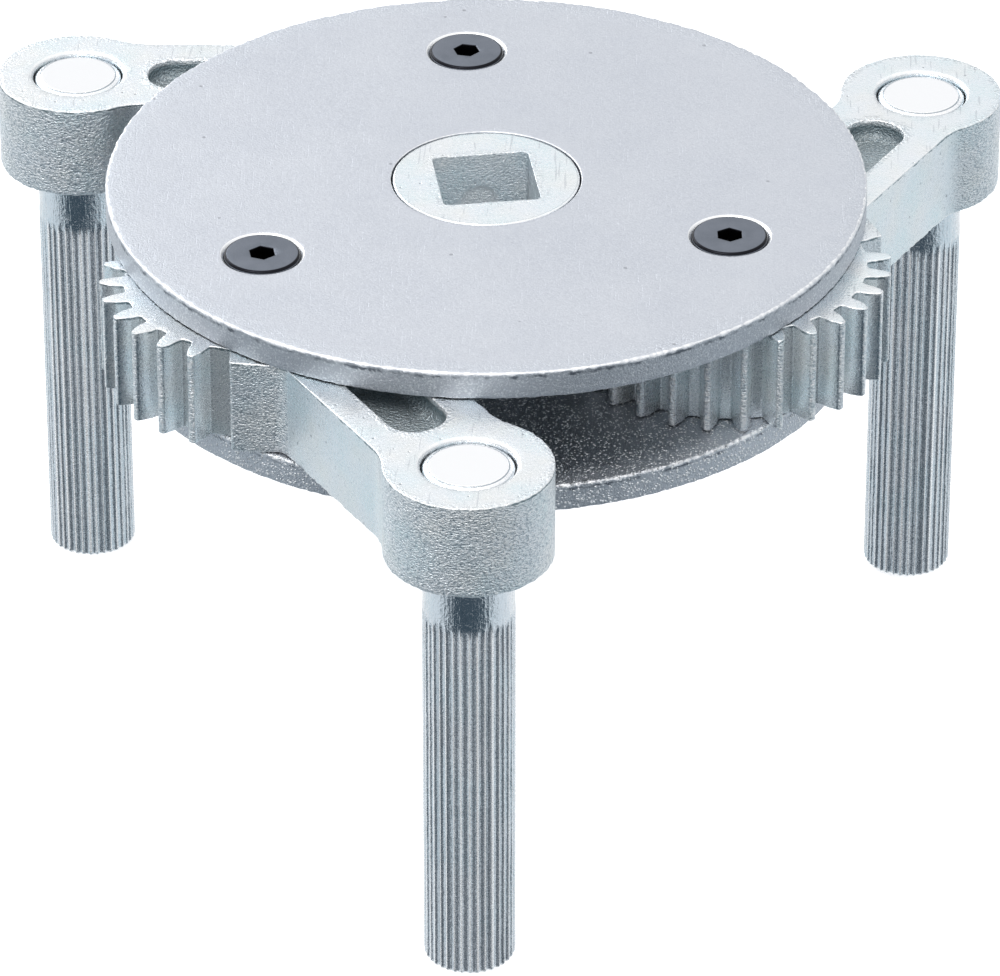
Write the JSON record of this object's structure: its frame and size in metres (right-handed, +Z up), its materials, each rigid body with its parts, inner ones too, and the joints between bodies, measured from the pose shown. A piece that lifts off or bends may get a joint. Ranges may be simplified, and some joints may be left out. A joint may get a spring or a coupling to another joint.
{
  "type": "oil filter wrench",
  "caption": "Oil filter wrench whose square-drive sun gear, held between round plates, swings geared arms so that their fluted legs close on the filter.",
  "frame": {"origin": "middle of the footprint's bounding box, on the surface that the three feet stand on; the hub's axis is 10.17 mm towards +Y", "axes": "+Z up along the hub's axis; +X to the right and +Y away from the front leg"},
  "size_m": [0.1369, 0.133, 0.0784],
  "materials": {
    "plate": "satin tumbled and lightly plated",
    "hub": "bright zinc plated",
    "arm": "zinc plated over a forged skin",
    "leg": "zinc plated, fluted",
    "post": "turned steel",
    "screw": "black oxide"
  },
  "bodies": {
    "housing": {"top_plate": "plate", "bottom_plate": "plate", "pivot_post_1": "post", "pivot_post_2": "post", "pivot_post_3": "post", "top_screw_1": "screw", "top_screw_2": "screw", "top_screw_3": "screw", "bottom_screw_1": "screw", "bottom_screw_2": "screw", "bottom_screw_3": "screw"},
    "hub": {"drive_hub": "hub"},
    "arm_1": {"gear_arm_1": "arm", "leg_pin_1": "leg"},
    "arm_2": {"gear_arm_2": "arm", "leg_pin_2": "leg"},
    "arm_3": {"gear_arm_3": "arm", "leg_pin_3": "leg"}
  },
  "joints": [
    {"name": "hub_turn", "type": "hinge", "parent": "housing", "child": "hub", "pos_m": [0, 0.01017, 0.0677], "axis": [0, 0, 1], "range_deg": [-22.6, 248]},
    {"name": "arm_swing_1", "type": "hinge", "parent": "housing", "child": "arm_1", "pos_m": [-0.0043, 0.04519, 0.0677], "axis": [0, 0, 1], "range_deg": [-187, 17.4]},
    {"name": "arm_swing_2", "type": "hinge", "parent": "housing", "child": "arm_2", "pos_m": [-0.02818, -0.01106, 0.0677], "axis": [0, 0, 1], "range_deg": [-187, 17.4]},
    {"name": "arm_swing_3", "type": "hinge", "parent": "housing", "child": "arm_3", "pos_m": [0.03247, -0.00362, 0.0677], "axis": [0, 0, 1], "range_deg": [-187, 17.4]}
  ],
  "couplings": [
    {"joint": "arm_swing_1", "follows": "hub_turn", "ratio": -0.75},
    {"joint": "arm_swing_2", "follows": "hub_turn", "ratio": -0.75},
    {"joint": "arm_swing_3", "follows": "hub_turn", "ratio": -0.75}
  ]
}
